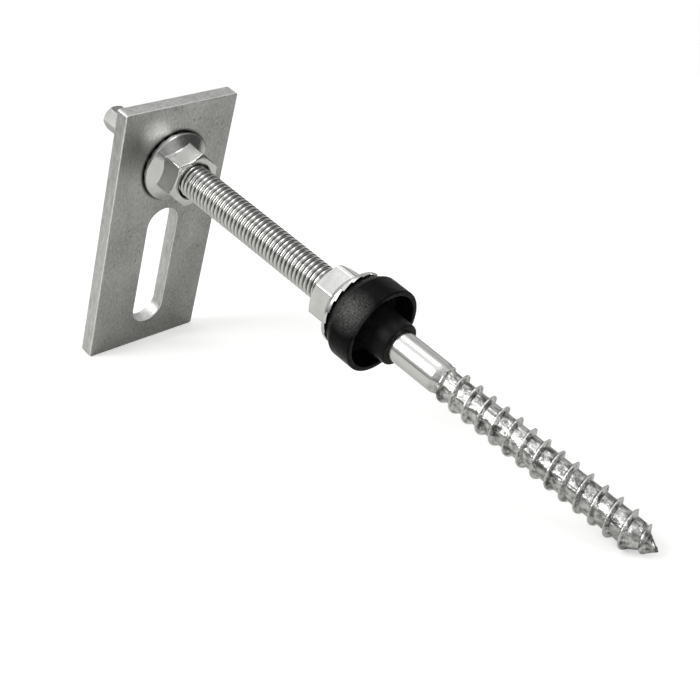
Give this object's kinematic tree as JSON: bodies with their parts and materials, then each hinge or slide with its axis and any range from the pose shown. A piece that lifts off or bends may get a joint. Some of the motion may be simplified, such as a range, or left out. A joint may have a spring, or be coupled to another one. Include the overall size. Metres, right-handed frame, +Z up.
{
  "type": "solar hanger bolt",
  "caption": "Long stainless hanger bolt with a wood-screw end, a roof seal, serrated flange nuts and a slotted adapter plate.",
  "frame": {"origin": "middle of the assembly's footprint, on the surface it lies on", "axes": "+X runs level from the drive end towards the point, +Y across the plate's width, +Z up"},
  "size_m": [0.1972, 0.04, 0.0806],
  "materials": {
    "bolt_steel": "bright rolled stainless steel",
    "nut_steel": "bright stainless steel",
    "plate_steel": "finely brushed, slightly mottled stainless steel",
    "seal_rubber": "matte black moulded rubber"
  },
  "bodies": {
    "root": {"hanger_bolt": "bolt_steel", "adapter_plate": "plate_steel", "plate_nut_inner": "nut_steel", "plate_nut_outer": "nut_steel", "seal_nut": "nut_steel", "roof_seal": "seal_rubber"}
  },
  "joints": []
}
